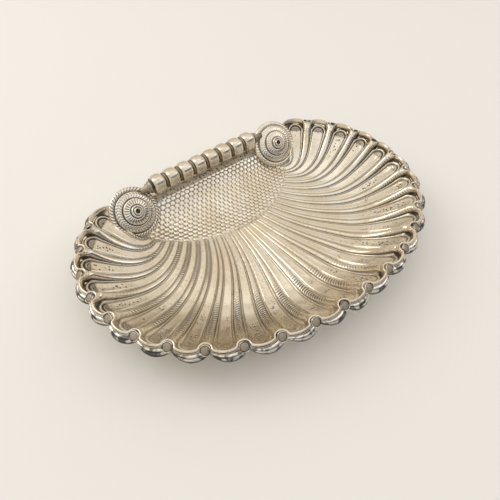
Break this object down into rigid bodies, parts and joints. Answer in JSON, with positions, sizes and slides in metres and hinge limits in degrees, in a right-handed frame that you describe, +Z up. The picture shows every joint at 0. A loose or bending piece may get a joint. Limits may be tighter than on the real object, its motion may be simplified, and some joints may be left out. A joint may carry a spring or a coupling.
{
  "type": "shell dish",
  "caption": "Silver-plated serving dish in the form of a fluted scallop shell, with a scrolled rim, two rosettes and a beaded bar along its back.",
  "frame": {"origin": "middle of the dish's plan box, on the surface that the feet stand on", "axes": "+X along the bead bar, +Y from the fan side to the bead bar, +Z up"},
  "size_m": [0.3686, 0.2434, 0.0555],
  "materials": {
    "bowl_silver": "satin",
    "rim_silver": "gloss",
    "rosette_silver": "satin",
    "bead_silver": "gloss",
    "collar_silver": "satin",
    "foot_silver": "satin"
  },
  "bodies": {
    "root": {"shell_bowl": "bowl_silver", "rim_scroll_01": "rim_silver", "rim_scroll_02": "rim_silver", "rim_scroll_03": "rim_silver", "rim_scroll_04": "rim_silver", "rim_scroll_05": "rim_silver", "rim_scroll_06": "rim_silver", "rim_scroll_07": "rim_silver", "rim_scroll_08": "rim_silver", "rim_scroll_09": "rim_silver", "rim_scroll_10": "rim_silver", "rim_scroll_11": "rim_silver", "rim_scroll_12": "rim_silver", "rim_scroll_13": "rim_silver", "rim_scroll_14": "rim_silver", "rim_scroll_15": "rim_silver", "rim_scroll_16": "rim_silver", "rim_scroll_17": "rim_silver", "rim_scroll_18": "rim_silver", "rim_scroll_19": "rim_silver", "rim_scroll_20": "rim_silver", "rim_scroll_21": "rim_silver", "rim_scroll_22": "rim_silver", "rim_scroll_23": "rim_silver", "rim_scroll_24": "rim_silver", "rim_scroll_25": "rim_silver", "rosette_left": "rosette_silver", "rosette_right": "rosette_silver", "bar_bead_1": "bead_silver", "bar_bead_2": "bead_silver", "bar_bead_3": "bead_silver", "bar_bead_4": "bead_silver", "bar_bead_5": "bead_silver", "bar_bead_6": "bead_silver", "bar_bead_7": "bead_silver", "bar_bead_8": "bead_silver", "bar_collar_1": "collar_silver", "bar_collar_2": "collar_silver", "bar_collar_3": "collar_silver", "bar_collar_4": "collar_silver", "bar_collar_5": "collar_silver", "bar_collar_6": "collar_silver", "bar_collar_7": "collar_silver", "bar_ferrule_left": "collar_silver", "bar_ferrule_right": "collar_silver", "bar_rod": "collar_silver", "foot_back_left": "foot_silver", "foot_back_right": "foot_silver", "foot_front_left": "foot_silver", "foot_front_right": "foot_silver"}
  },
  "joints": []
}
